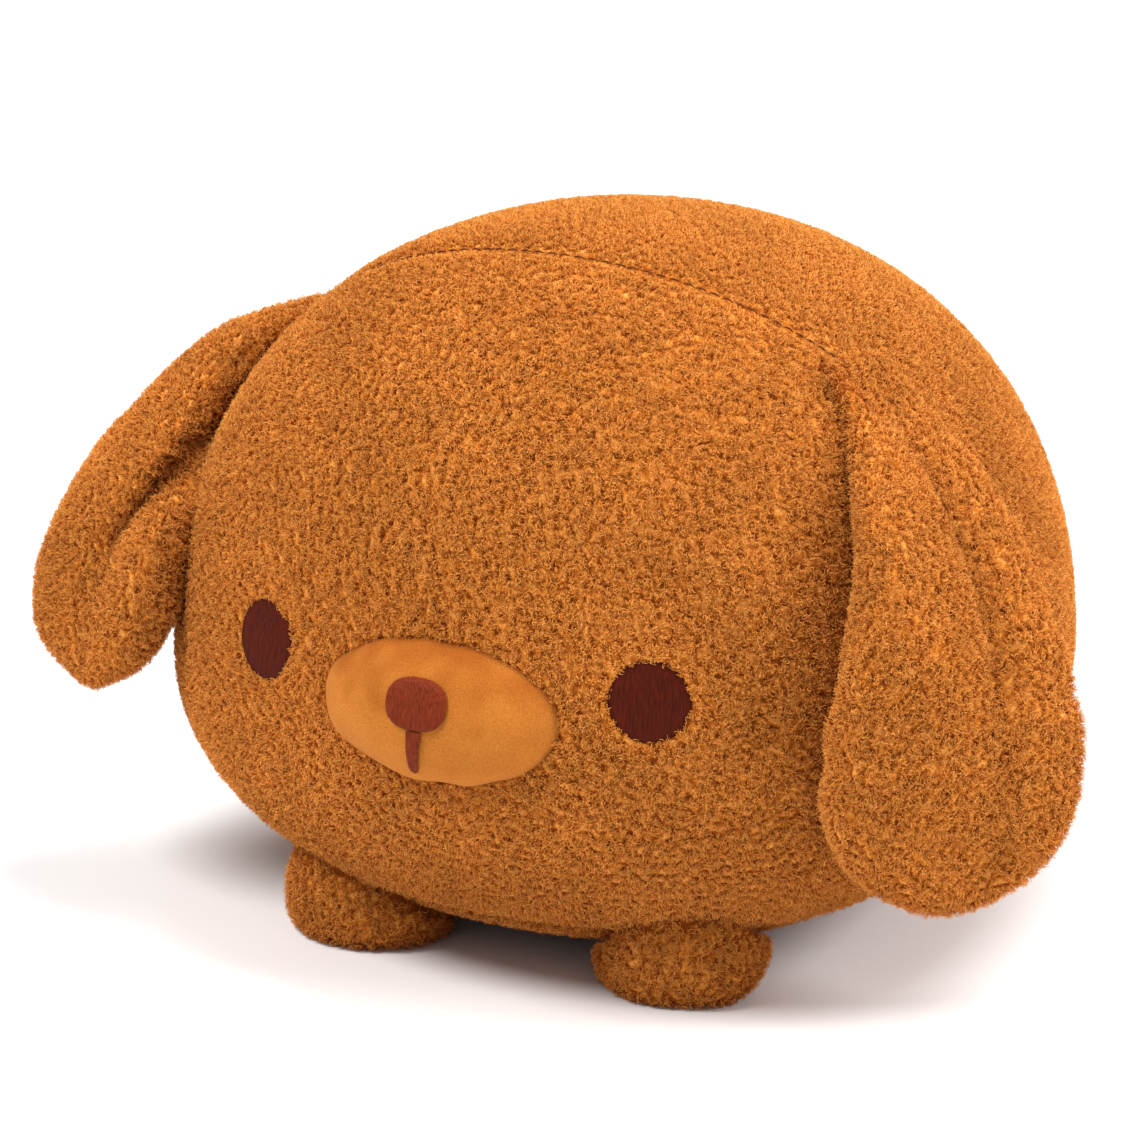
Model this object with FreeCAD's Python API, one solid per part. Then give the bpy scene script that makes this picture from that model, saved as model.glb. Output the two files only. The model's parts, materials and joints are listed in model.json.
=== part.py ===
import FreeCAD, Part
import math
import os

# A plump, egg-shaped plush dog that rests on four stub feet. Units are millimetres.
# The dog looks along -Y, its own left is +X and +Z is up. The model is drawn about the
# centre of the body, and then moved so that the origin lies on the floor, midway between
# the muzzle and the tail.

Vector = FreeCAD.Vector

# ---------------------------------------------------------------- driving dimensions

# The body is four quarter-ellipsoids that share a centre.
BODY_HALF_WIDTH = 158.0
BODY_FRONT = 123.0
BODY_BACK = 207.0
BODY_TOP = 163.0
BODY_BOTTOM = 91.0
FLOOR_DROP = 94.0  # from the centre of the body down to the soles

# The cover is plush cloth: its thickness is the backing and the pressed pile together.
PLUSH = 4.0
GAP = 0.3  # kept between neighbouring pieces
SEAM_GAP = 0.6  # from a seam's middle to the cut edge on each side
THREAD = 0.4  # half the thickness of a seam thread
THREAD_TOP = 1.5  # how far a seam thread lies below the cover
THREAD_BOTTOM = 2.7

# The crown seam lies in a plane that leans back as it goes down.
SEAM_Y_AT_CENTRE = 65.0
SEAM_LEAN = 0.61
BELLY_SEAM_Z = -70.0

# Eyes: flat satin-stitched discs, sunk in the pile.
EYE_X = 76.7
EYE_Z = 27.7
EYE_RADIUS = 14.6
STITCH_TOP = 1.0
STITCH_BOTTOM = 2.2
BACKING = 1.0  # cloth disc behind an embroidered area
BACKING_RIM = 4.0

# Muzzle: a short-pile oval pad, set into the face and tilted back a little.
MUZZLE_Y = -107.0
MUZZLE_Z = 17.0
MUZZLE_TILT = 4.5
MUZZLE_DOME = (49.4, 29.0, 27.8)
MUZZLE_OPENING = (46.8, 25.5)
MUZZLE_CLOTH = 2.0
NOSE_Z = 25.0
NOSE_OVAL = (11.9, 9.5)
MOUTH_WIDTH = 5.0
MOUTH_LENGTH = 17.0
RAISED_STITCH = 1.2

# Feet: four short round-edged stubs under the belly.
FOOT_X = 62.0
FRONT_FOOT_Y = -56.0
BACK_FOOT_Y = 100.0
FOOT_OVAL = (31.0, 28.0)
FOOT_ROUNDING = 15.0
FOOT_SINK = 70.0  # how high a foot is drawn before the body's outside is cut away
SOLE_TRIM = 0.3  # sliced off the rounded stub to leave a true flat sole

# Ears: padded flaps that are pinched at the root and widen to a round tip.
EAR_ROOT_X = 103.0
EAR_ROOT_Y = -12.0
EAR_STANDOFF = 5.6  # from the cover to the line that the ear turns about
EAR_CLOTH = 3.0
EAR_TURN_AT_ROOT = 90.0  # which way the flap's inner edge points, from +X towards -Y
EAR_TURN_AT_TIP = 145.0
EAR_TURNED_BY = 0.85  # fraction of the length by which the flap has turned
EAR_HALF_WIDTH = (11.0, 42.5)  # at the root, and where the flap is widest
EAR_HALF_THICKNESS = (4.6, 16.5)
EAR_WIDEST = 0.72  # fraction of the length at which the flap is widest
EAR_END = 0.985  # the round tip is cut off square this far along
EAR_SECTIONS = 14
# Middle line of each ear below its root, both drawn as a left ear. The left ear hangs
# straight down, and the right one stands off the head before it falls.
LEFT_EAR_LINE = (
    (127.0, -20.0, 107.0),
    (145.0, -32.0, 91.0),
    (164.0, -50.0, 59.0),
    (170.0, -60.0, 27.0),
    (169.0, -62.0, -12.0),
    (163.0, -58.0, -50.0),
)
RIGHT_EAR_LINE = (
    (130.0, -14.0, 116.0),
    (150.0, -13.0, 95.0),
    (165.0, -27.0, 66.0),
    (169.0, -50.0, 39.0),
    (168.0, -66.0, 14.0),
    (161.0, -74.0, -9.0),
)

# Tail: a short stub whose root is a ball, so that it can wag.
TAIL_Z = 30.0
TAIL_RADIUS = 14.0
TAIL_LENGTH = 15.0
TAIL_RISE = 35.0
TAIL_STANDOFF = 14.8

FAR = 600.0  # larger than the whole toy
BAR_END = 10.0


# ---------------------------------------------------------------- the body's outline

def quarter(front_or_back, top_or_bottom, half_width, length, height):
    """A quarter of an ellipsoid: front_or_back is -1 or 1 along Y, top_or_bottom along Z."""
    low, high = (0, 90) if top_or_bottom > 0 else (-90, 0)
    ball = Part.makeSphere(100.0, Vector(), Vector(0, 0, 1), low, high, 180)
    if front_or_back < 0:
        ball.rotate(Vector(), Vector(0, 0, 1), 180)
    scale = FreeCAD.Matrix()
    scale.scale(half_width / 100.0, length / 100.0, height / 100.0)
    return ball.transformGeometry(scale)


def body(offset):
    """The body's egg, grown outwards by offset."""
    pieces = [
        quarter(side, up, BODY_HALF_WIDTH + offset, length + offset, height + offset)
        for side, length in ((-1, BODY_FRONT), (1, BODY_BACK))
        for up, height in ((1, BODY_TOP), (-1, BODY_BOTTOM))
    ]
    return pieces[0].fuse(pieces[1:]).removeSplitter().Solids[0]


def body_layer(top, bottom):
    """The layer of the body from top to bottom below its outside."""
    return body(-top).cut(body(-bottom)).Solids[0]


def surface_point(x, z, side):
    """The point of the body's outside at x and z, on the front (-1) or the back (1)."""
    length = BODY_FRONT if side < 0 else BODY_BACK
    height = BODY_TOP if z > 0 else BODY_BOTTOM
    y = length * math.sqrt(1 - (x / BODY_HALF_WIDTH) ** 2 - (z / height) ** 2)
    return Vector(x, side * y, z)


def surface_height(x, y):
    """The height of the body's top above the point x, y."""
    length = BODY_FRONT if y < 0 else BODY_BACK
    return BODY_TOP * math.sqrt(1 - (x / BODY_HALF_WIDTH) ** 2 - (y / length) ** 2)


def surface_normal(point):
    """The outward normal of the body's outside at a point on it."""
    length = BODY_FRONT if point.y < 0 else BODY_BACK
    height = BODY_TOP if point.z > 0 else BODY_BOTTOM
    normal = Vector(
        point.x / BODY_HALF_WIDTH ** 2,
        point.y / length ** 2,
        point.z / height ** 2,
    )
    return normal.normalize()


# ---------------------------------------------------------------- cutting tools

def half_space(point, direction):
    """A large block that fills the side of a plane that direction points to."""
    block = Part.makeBox(2 * FAR, 2 * FAR, 2 * FAR, Vector(-FAR, -FAR, 0))
    turn = FreeCAD.Rotation(Vector(0, 0, 1), direction)
    block.Placement = FreeCAD.Placement(point, turn)
    return block


def crown_side(side, clearance):
    """All that lies ahead of (-1) or behind (1) the crown seam, clear of its plane."""
    normal = Vector(0, 1, SEAM_LEAN).normalize() * side
    point = Vector(0, SEAM_Y_AT_CENTRE, 0) + normal * clearance
    return half_space(point, normal)


def above_belly(clearance):
    return half_space(Vector(0, 0, BELLY_SEAM_Z + clearance), Vector(0, 0, 1))


def below_belly(clearance):
    return half_space(Vector(0, 0, BELLY_SEAM_Z - clearance), Vector(0, 0, -1))


def oval_bar(half_x, half_z):
    """An oval bar along Y, from far in front of the origin to just behind it."""
    disc = Part.makeCylinder(1.0, FAR / 2, Vector(0, BAR_END - FAR / 2, 0), Vector(0, 1, 0))
    scale = FreeCAD.Matrix()
    scale.scale(half_x, 1.0, half_z)
    return disc.transformGeometry(scale)


def one_solid(shape):
    """The largest solid of a boolean result."""
    return max(shape.Solids, key=lambda solid: solid.Volume)


# ---------------------------------------------------------------- eyes

def eye_bar(side, radius):
    """A round bar through an eye, along the normal of the face there."""
    centre = surface_point(side * EYE_X, EYE_Z, -1)
    normal = surface_normal(centre)
    return Part.makeCylinder(radius, 40.0, centre - normal * 20.0, normal)


def eye_embroidery(side):
    return one_solid(body_layer(STITCH_TOP, STITCH_BOTTOM).common(eye_bar(side, EYE_RADIUS)))


def eye_backing(side):
    layer = body_layer(PLUSH + GAP, PLUSH + GAP + BACKING)
    return one_solid(layer.common(eye_bar(side, EYE_RADIUS + BACKING_RIM)))


# ---------------------------------------------------------------- muzzle

def tilted(shape):
    """A muzzle piece drawn about the origin, put in its place on the face."""
    shape.rotate(Vector(), Vector(1, 0, 0), MUZZLE_TILT)
    shape.translate(Vector(0, MUZZLE_Y, MUZZLE_Z))
    return shape


def dome(offset):
    """The front half of the muzzle's ellipsoid about the origin, grown by offset."""
    scale = FreeCAD.Matrix()
    scale.scale(*(size + offset for size in MUZZLE_DOME))
    ball = Part.makeSphere(1.0).transformGeometry(scale)
    return ball.common(half_space(Vector(), Vector(0, -1, 0)))


def muzzle_opening(grow):
    half_x, half_z = MUZZLE_OPENING
    return oval_bar(half_x + grow, half_z + grow)


def muzzle_cover():
    shell = dome(0).cut(dome(-MUZZLE_CLOTH))
    return tilted(one_solid(shell.common(muzzle_opening(-GAP))))


def stabiliser_bar(grow):
    half_x, _ = NOSE_OVAL
    return oval_bar(half_x + grow, MOUTH_LENGTH + grow)


def muzzle_backing():
    top = MUZZLE_CLOTH + GAP
    layer = dome(-top).cut(dome(-top - BACKING))
    return tilted(one_solid(layer.common(stabiliser_bar(BACKING_RIM))))


def muzzle_padding():
    top = MUZZLE_CLOTH + GAP
    pad = dome(-top).common(muzzle_opening(-GAP))
    pocket = stabiliser_bar(BACKING_RIM + GAP).cut(dome(-top - BACKING - GAP))
    return tilted(one_solid(pad.cut(pocket)))


def raised_layer():
    """The layer that stitching takes up on top of the muzzle's cloth."""
    return dome(RAISED_STITCH).cut(dome(0.1))


def nose_embroidery():
    half_x, half_z = NOSE_OVAL
    bar = oval_bar(half_x, half_z)
    bar.translate(Vector(0, 0, NOSE_Z - MUZZLE_Z))
    return tilted(one_solid(raised_layer().common(bar)))


def mouth_embroidery():
    """A round-ended vertical line that starts just under the nose."""
    top = NOSE_Z - MUZZLE_Z - NOSE_OVAL[1] - GAP
    low_end = top - MOUTH_LENGTH + MOUTH_WIDTH / 2
    bar = Part.makeBox(MOUTH_WIDTH, FAR / 2, top - low_end, Vector(-MOUTH_WIDTH / 2, -FAR / 2, low_end))
    end = oval_bar(MOUTH_WIDTH / 2, MOUTH_WIDTH / 2)
    end.translate(Vector(0, 0, low_end))
    return tilted(one_solid(raised_layer().common(bar.fuse(end))))


# ---------------------------------------------------------------- body cover

def face_panel(cover):
    panel = cover.common(crown_side(-1, SEAM_GAP)).common(above_belly(SEAM_GAP))
    panel = panel.cut(tilted(muzzle_opening(0)))
    for side in (-1, 1):
        pocket = eye_bar(side, EYE_RADIUS + GAP).cut(body(-STITCH_BOTTOM - GAP))
        panel = panel.cut(pocket)
    return one_solid(panel)


def back_panel(cover):
    return one_solid(cover.common(crown_side(1, SEAM_GAP)).common(above_belly(SEAM_GAP)))


def belly_panel(cover):
    return one_solid(cover.common(below_belly(SEAM_GAP)))


def crown_seam_thread():
    layer = body_layer(THREAD_TOP, THREAD_BOTTOM)
    strip = layer.cut(crown_side(-1, THREAD)).cut(crown_side(1, THREAD))
    return one_solid(strip.common(above_belly(SEAM_GAP + GAP)))


def belly_seam_thread():
    layer = body_layer(THREAD_TOP, THREAD_BOTTOM)
    return one_solid(layer.cut(above_belly(THREAD)).cut(below_belly(THREAD)))


def body_stuffing():
    core = body(-PLUSH - GAP)
    for side in (-1, 1):
        recess = eye_bar(side, EYE_RADIUS + BACKING_RIM + GAP)
        core = core.cut(recess.cut(body(-PLUSH - BACKING - 2 * GAP)))
    hollow = dome(GAP)
    hollow.translate(Vector(0, GAP, 0))
    return one_solid(core.cut(tilted(hollow)))


# ---------------------------------------------------------------- feet

def foot_block(inset):
    """An oval stub with a rounded rim, standing on the floor, drawn about its own axis."""
    half_x, half_y = (size - inset for size in FOOT_OVAL)
    lowest = inset - SOLE_TRIM
    disc = Part.makeCylinder(100.0, FOOT_SINK - lowest, Vector(0, 0, lowest))
    rounding = max(FOOT_ROUNDING - inset, 2.0)
    rim = [edge for edge in disc.Edges if edge.BoundBox.ZMax < lowest + 0.1]
    stub = disc.makeFillet(rounding, rim)
    scale = FreeCAD.Matrix()
    scale.scale(half_x / 100.0, half_y / 100.0, 1.0)
    trim = Part.makeBox(100.0, 100.0, SOLE_TRIM + 1.0, Vector(-50, -50, lowest - 1.0))
    return stub.transformGeometry(scale).cut(trim)


def foot(x, y, inset, clearance):
    stub = foot_block(inset)
    stub.translate(Vector(x, y, -FLOOR_DROP))
    return one_solid(stub.cut(body(clearance)))


def foot_stuffing(x, y):
    return foot(x, y, PLUSH + GAP, GAP)


def foot_cover(x, y):
    shell = foot_block(0).cut(foot_block(PLUSH))
    shell.translate(Vector(x, y, -FLOOR_DROP))
    return one_solid(shell.cut(body(GAP)))


# ---------------------------------------------------------------- ears

def ear_pivot():
    """The middle of the left ear's root, just off the body."""
    root = Vector(EAR_ROOT_X, EAR_ROOT_Y, surface_height(EAR_ROOT_X, EAR_ROOT_Y))
    return root + surface_normal(root) * EAR_STANDOFF


def ear_size(fraction, size_range):
    """Half the flap's width or thickness: it swells from the root, then rounds off."""
    at_root, at_widest = size_range
    if fraction < EAR_WIDEST:
        swell = (1 - math.cos(math.pi * fraction / EAR_WIDEST)) / 2
        return at_root + (at_widest - at_root) * swell
    return at_widest * math.sqrt(1 - ((fraction - EAR_WIDEST) / (1 - EAR_WIDEST)) ** 2)


def ear_sections(line):
    """Along an ear: position, width and thickness directions, half width, half thickness."""
    curve = Part.BSplineCurve()
    curve.interpolate([ear_pivot()] + [Vector(*point) for point in line])
    sections = []
    for step in range(EAR_SECTIONS + 1):
        fraction = EAR_END * math.sin(math.pi / 2 * step / EAR_SECTIONS)
        at = curve.parameterAtDistance(curve.length() * fraction, curve.FirstParameter)
        tangent = curve.tangent(at)[0].normalize()
        turned = min(1.0, fraction / EAR_TURNED_BY)
        angle = math.radians(EAR_TURN_AT_ROOT + (EAR_TURN_AT_TIP - EAR_TURN_AT_ROOT) * turned)
        across = Vector(math.cos(angle), -math.sin(angle), 0)
        across = (across - tangent * across.dot(tangent)).normalize()
        half_width = ear_size(fraction, EAR_HALF_WIDTH)
        half_thickness = ear_size(fraction, EAR_HALF_THICKNESS)
        frame = (curve.value(at), across, across.cross(tangent))
        sections.append((frame, half_width, half_thickness))
    return sections


def half_oval(frame, half_width, half_thickness, lift, flip):
    """Half an oval from one edge of the flap to the other; flip picks its face."""
    centre, across, out = frame
    points = []
    for step in range(9):
        angle = math.pi * step / 8
        sideways = across * half_width * math.cos(angle)
        outwards = out * flip * (lift + half_thickness * math.sin(angle))
        points.append(centre + sideways + outwards)
    curve = Part.BSplineCurve()
    curve.interpolate(points)
    return curve.toShape()


def crescent(frame, half_width, half_thickness, flip):
    """The cut through one cloth face of the flap."""
    outer = half_oval(frame, half_width, half_thickness, GAP / 2, flip)
    inner = half_oval(frame, half_width - EAR_CLOTH, half_thickness - EAR_CLOTH, GAP / 2, flip)
    first = Part.makeLine(outer.valueAt(outer.FirstParameter), inner.valueAt(inner.FirstParameter))
    last = Part.makeLine(outer.valueAt(outer.LastParameter), inner.valueAt(inner.LastParameter))
    return Part.Wire(Part.__sortEdges__([outer, last, inner, first]))


def ear_face(line, flip):
    """One cloth face of an ear: flip is 1 on the outside and -1 next to the body."""
    wires = [crescent(*section, flip) for section in ear_sections(line)]
    return Part.makeLoft(wires, True, True)


def ear_batting(line):
    inset = EAR_CLOTH + GAP
    wires = []
    for frame, half_width, half_thickness in ear_sections(line):
        halves = [
            half_oval(frame, half_width - inset, half_thickness - inset, 0, flip)
            for flip in (1, -1)
        ]
        wires.append(Part.Wire(Part.__sortEdges__(halves)))
    return Part.makeLoft(wires, True, True)


def mirrored(shape):
    return shape.mirror(Vector(), Vector(1, 0, 0))


# ---------------------------------------------------------------- tail

def tail_pivot():
    root = surface_point(0, TAIL_Z, 1)
    return root + surface_normal(root) * TAIL_STANDOFF


def tail_stub(inset):
    rise = math.radians(TAIL_RISE)
    along = Vector(0, math.cos(rise), math.sin(rise))
    radius = TAIL_RADIUS - inset
    stub = Part.makeCylinder(radius, TAIL_LENGTH, tail_pivot(), along)
    stub = stub.fuse(Part.makeSphere(radius, tail_pivot()))
    return stub.fuse(Part.makeSphere(radius, tail_pivot() + along * TAIL_LENGTH)).removeSplitter()


# ---------------------------------------------------------------- the whole toy

def build():
    """Every sub-part by name, drawn about the centre of the body."""
    cover = body_layer(0, PLUSH)
    parts = {
        "face_panel": face_panel(cover),
        "back_panel": back_panel(cover),
        "belly_panel": belly_panel(cover),
        "body_stuffing": body_stuffing(),
        "crown_seam_thread": crown_seam_thread(),
        "belly_seam_thread": belly_seam_thread(),
        "muzzle_cover": muzzle_cover(),
        "muzzle_backing": muzzle_backing(),
        "muzzle_padding": muzzle_padding(),
        "nose_embroidery": nose_embroidery(),
        "mouth_embroidery": mouth_embroidery(),
        "tail_cover": one_solid(tail_stub(0).cut(tail_stub(PLUSH))),
        "tail_stuffing": one_solid(tail_stub(PLUSH + GAP)),
    }
    for name, side in (("left", 1), ("right", -1)):
        parts[name + "_eye_embroidery"] = eye_embroidery(side)
        parts[name + "_eye_backing"] = eye_backing(side)
        parts["front_" + name + "_foot_cover"] = foot_cover(side * FOOT_X, FRONT_FOOT_Y)
        parts["front_" + name + "_foot_stuffing"] = foot_stuffing(side * FOOT_X, FRONT_FOOT_Y)
        parts["back_" + name + "_foot_cover"] = foot_cover(side * FOOT_X, BACK_FOOT_Y)
        parts["back_" + name + "_foot_stuffing"] = foot_stuffing(side * FOOT_X, BACK_FOOT_Y)
    for name, line in (("left", LEFT_EAR_LINE), ("right", RIGHT_EAR_LINE)):
        ear = {
            "_ear_front": ear_face(line, 1),
            "_ear_back": ear_face(line, -1),
            "_ear_batting": ear_batting(line),
        }
        for suffix, shape in ear.items():
            parts[name + suffix] = shape if name == "left" else mirrored(shape)
    return parts


def floor_shift(parts):
    """The move that puts the origin on the floor, midway between muzzle and tail."""
    box = Part.makeCompound(list(parts.values())).optimalBoundingBox()
    return Vector(0, -box.Center.y, FLOOR_DROP)


parts = build()
shift = floor_shift(parts)
os.makedirs("parts", exist_ok=True)
for name, shape in parts.items():
    shape.translate(shift)
    shape.exportStep("parts/" + name + ".step")
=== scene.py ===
import json
import math

import bmesh
import bpy
import numpy as np
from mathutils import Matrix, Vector


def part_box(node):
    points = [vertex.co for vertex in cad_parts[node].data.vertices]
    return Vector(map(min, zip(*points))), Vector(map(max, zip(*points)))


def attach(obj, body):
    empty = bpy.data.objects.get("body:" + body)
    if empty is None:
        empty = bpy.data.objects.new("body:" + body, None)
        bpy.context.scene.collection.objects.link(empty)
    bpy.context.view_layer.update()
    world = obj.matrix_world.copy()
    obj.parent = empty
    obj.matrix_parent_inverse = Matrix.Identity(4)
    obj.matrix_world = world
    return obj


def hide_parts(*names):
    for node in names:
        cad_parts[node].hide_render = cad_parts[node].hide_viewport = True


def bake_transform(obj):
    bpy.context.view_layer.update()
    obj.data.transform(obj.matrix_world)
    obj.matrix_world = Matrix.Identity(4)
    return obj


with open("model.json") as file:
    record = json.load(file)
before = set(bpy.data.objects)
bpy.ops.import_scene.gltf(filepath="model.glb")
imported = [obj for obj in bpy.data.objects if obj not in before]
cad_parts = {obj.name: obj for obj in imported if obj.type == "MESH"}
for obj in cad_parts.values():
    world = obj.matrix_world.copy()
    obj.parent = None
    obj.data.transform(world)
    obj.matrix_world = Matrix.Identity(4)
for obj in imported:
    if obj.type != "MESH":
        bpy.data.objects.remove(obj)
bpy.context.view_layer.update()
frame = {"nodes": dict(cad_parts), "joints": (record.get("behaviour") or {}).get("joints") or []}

MM = 0.001

# ---- named values, in metres

# The cloth lies this far below the CAD outside, and the pile fills the rest.
CLOTH_DEPTH = 1.2 * MM
TUFT_HEIGHT = 0.9 * MM
TUFT_SIZE = 4.0 * MM
PILE_HEIGHT = 2.6 * MM
PILE_CURL = 0.5 * MM
PILE_BEND = 0.55  # how far a fibre leans, as a share of its height
FIBRE_RADIUS = 0.11 * MM
FIBRE_TAPER = 0.45  # how much of its radius a fibre loses towards the tip
FIBRES_PER_MM2 = 2.0
FIBRE_POINTS = 7
FULLNESS = 2.12  # exponent of the body's outline: 2 is a plain ellipsoid, more is fuller
HEM = 5.0 * MM
SEAM_DEPTH = 2.4 * MM
SEAM_WIDTH = 2.0 * MM
SEAM_GAP = 0.6 * MM  # the pile starts this far from the crown seam
POCKET_DEPTH = 1.2 * MM  # the cloth under the muzzle and the eyes lies this much deeper
BODY_GRID = 92  # quads along each side of the cube that becomes the body

# The seeds of the noises and of the piles.
SEED_COARSE, SEED_FINE, SEED_LEAN = 11, 12, 21
SEED_LUMPS, SEED_MUZZLE, SEED_TOP_SHADE, SEED_CORE = 31, 41, 42, 51
SEED_BODY_PILE, SEED_FOOT_PILE, SEED_EAR_PILE = 100, 300, 400
SEED_ROOT_PILE = SEED_TAIL_PILE = 500

# ---- measures from the frame


def vectors_of(items, key):
    """One row of three numbers for each item of a mesh."""
    values = np.empty(len(items) * 3)
    items.foreach_get(key, values)
    return values.reshape(-1, 3)


def node_points(*nodes):
    """All the vertices of some CAD nodes."""
    return np.vstack([vectors_of(frame["nodes"][node].data.vertices, "co") for node in nodes])


def box_of(node):
    """A CAD node's lowest and highest corners."""
    return np.array(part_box(node))


def unit(vectors):
    return vectors / np.maximum(np.linalg.norm(vectors, axis=-1, keepdims=True), 1e-12)


def full_length(vectors):
    """Length in the measure that makes the body's outline a little full."""
    return (np.abs(vectors) ** FULLNESS).sum(1, keepdims=True) ** (1 / FULLNESS)


class Egg:
    """The body's outline: four quarter-ellipsoids that share a centre, a little full."""

    def __init__(self):
        points = node_points("face_panel", "back_panel", "belly_panel")
        low, high = points.min(0), points.max(0)
        widest = points[points[:, 0].argmax()]
        self.centre = np.array([0.0, widest[1], widest[2]])
        self.half_width = high[0]
        self.front = self.centre[1] - low[1]
        self.back = high[1] - self.centre[1]
        self.top = high[2] - self.centre[2]
        self.bottom = self.centre[2] - low[2]

    def radii(self, direction):
        """The three half-axes of the quarter that each direction points into."""
        length = np.where(direction[:, 1] < 0, self.front, self.back)
        height = np.where(direction[:, 2] < 0, self.bottom, self.top)
        return np.column_stack([np.full(len(length), self.half_width), length, height])

    def place(self, direction):
        """Directions to points on the outline."""
        return self.centre + direction / full_length(direction) * self.radii(direction)

    def local(self, points):
        """Points measured in the half-axes of the quarter that each lies in."""
        return (points - self.centre) / self.radii(points - self.centre)

    def normal(self, points):
        """Outward directions at points on the outline."""
        local = self.local(points)
        steep = np.sign(local) * np.abs(local) ** (FULLNESS - 1)
        return unit(steep / self.radii(points - self.centre))

    def front_at(self, x, z):
        """The y of the face at x and z."""
        local_z = z - self.centre[2]
        height = np.where(local_z < 0, self.bottom, self.top)
        across = np.abs(x / self.half_width) ** FULLNESS
        inside = 1 - across - np.abs(local_z / height) ** FULLNESS
        return self.centre[1] - self.front * np.clip(inside, 0, 1) ** (1 / FULLNESS)


def seam_plane():
    """The crown seam's plane, fitted to its thread: a point, and the normal that points back."""
    points = node_points("crown_seam_thread")
    lean, offset = np.polyfit(points[:, 2], points[:, 1], 1)
    return np.array([0.0, offset, 0.0]), unit(np.array([0.0, 1.0, -lean]))


EGG = Egg()
SEAM_POINT, SEAM_NORMAL = seam_plane()
BELLY_Z = sum(box[2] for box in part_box("belly_seam_thread")) / 2
MUZZLE_LOW, MUZZLE_HIGH = box_of("muzzle_cover")
MUZZLE_HALF_X = (MUZZLE_HIGH[0] - MUZZLE_LOW[0]) / 2
MUZZLE_HALF_Z = (MUZZLE_HIGH[2] - MUZZLE_LOW[2]) / 2
MUZZLE_Z = (MUZZLE_HIGH[2] + MUZZLE_LOW[2]) / 2


def eye_centre(side):
    low, high = box_of(side + "_eye_embroidery")
    middle = (low + high) / 2
    return np.array([middle[0], EGG.front_at(middle[0], middle[2]), middle[2]])


EYES = {side: eye_centre(side) for side in ("left", "right")}
EYE_LOW, EYE_HIGH = box_of("left_eye_embroidery")
EYE_RADIUS = (EYE_HIGH[2] - EYE_LOW[2]) / 2

# ---- noise and mesh helpers


def waves(points, size, seed, count=24):
    """Smooth noise of about -1 to 1: a sum of plane waves with lengths round size."""
    rng = np.random.default_rng(seed)
    directions = unit(rng.normal(size=(count, 3)))
    lengths = size * rng.uniform(0.75, 1.5, count)
    phases = rng.uniform(0, 2 * math.pi, count)
    total = np.zeros(len(points))
    for direction, length, phase in zip(directions, lengths, phases):
        total += np.sin(points @ direction * (2 * math.pi / length) + phase)
    return total / math.sqrt(count)


def tufts(points):
    """Lumpy pile from 0 in the gaps to 1 on the crowns."""
    coarse = waves(points, TUFT_SIZE, SEED_COARSE)
    fine = waves(points, TUFT_SIZE * 0.6, SEED_FINE)
    return 1 / (1 + np.exp(-1.8 * (coarse + 0.7 * fine)))


def add_object(name, data):
    obj = bpy.data.objects.new(name, data)
    bpy.context.scene.collection.objects.link(obj)
    return obj


def mesh_object(name, vertices, faces):
    mesh = bpy.data.meshes.new(name)
    mesh.from_pydata([tuple(v) for v in vertices], [], [tuple(f) for f in faces])
    mesh.update()
    mesh.shade_smooth()
    return add_object(name, mesh)


def built_object(name, build):
    """A smooth object from a bmesh, which is used up."""
    mesh = bpy.data.meshes.new(name)
    build.to_mesh(mesh)
    build.free()
    mesh.shade_smooth()
    return add_object(name, mesh)


def strip(base, rings, sides, corner):
    """The quads of one strip along a tube of rings whose first vertex is base."""
    after = (corner + 1) % sides
    lows = range(base, base + (rings - 1) * sides, sides)
    return [(low + corner, low + after, low + sides + after, low + sides + corner) for low in lows]


def coordinates(obj):
    return vectors_of(obj.data.vertices, "co")


def set_coordinates(obj, points):
    obj.data.vertices.foreach_set("co", points.ravel())
    obj.data.update()


def vertex_normals(obj):
    return vectors_of(obj.data.vertex_normals, "vector")


def push_out(obj, heights):
    """Moves each vertex out along its normal, by one height for each."""
    set_coordinates(obj, coordinates(obj) + vertex_normals(obj) * heights[:, None])


def store(obj, name, values):
    """Keeps one number per vertex, for the material to read."""
    attribute = obj.data.attributes.new(name, "FLOAT", "POINT")
    attribute.data.foreach_set("value", values.astype(np.float32))


def cube_sphere(quads):
    """Directions and quads of a cube's grid, blown up to a unit sphere."""
    build = bmesh.new()
    bmesh.ops.create_cube(build, size=2.0)
    bmesh.ops.subdivide_edges(build, edges=build.edges[:], cuts=quads - 1, use_grid_fill=True)
    build.verts.ensure_lookup_table()
    points = np.array([v.co[:] for v in build.verts])
    faces = [[v.index for v in face.verts] for face in build.faces]
    build.free()
    return unit(np.tan(points * math.pi / 4)), faces


def refine(obj, levels=1):
    """Subdivides a mesh and keeps the result."""
    modifier = obj.modifiers.new("fine", "SUBSURF")
    modifier.levels = levels
    modifier.render_levels = levels
    apply_modifiers(obj)


def apply_modifiers(obj):
    graph = bpy.context.evaluated_depsgraph_get()
    mesh = bpy.data.meshes.new_from_object(obj.evaluated_get(graph))
    obj.modifiers.clear()
    obj.data = mesh
    mesh.shade_smooth()


def soft_copy(name, nodes, voxel, smooth):
    """One closed skin round some CAD nodes, softened: the start of a padded piece."""
    build = bmesh.new()
    for node in nodes:
        build.from_mesh(frame["nodes"][node].data)
    obj = built_object(name, build)
    remesh = obj.modifiers.new("voxels", "REMESH")
    remesh.mode = "VOXEL"
    remesh.voxel_size = voxel
    soften = obj.modifiers.new("soften", "SMOOTH")
    soften.iterations = smooth
    apply_modifiers(obj)
    return obj


# ---- materials

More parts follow.
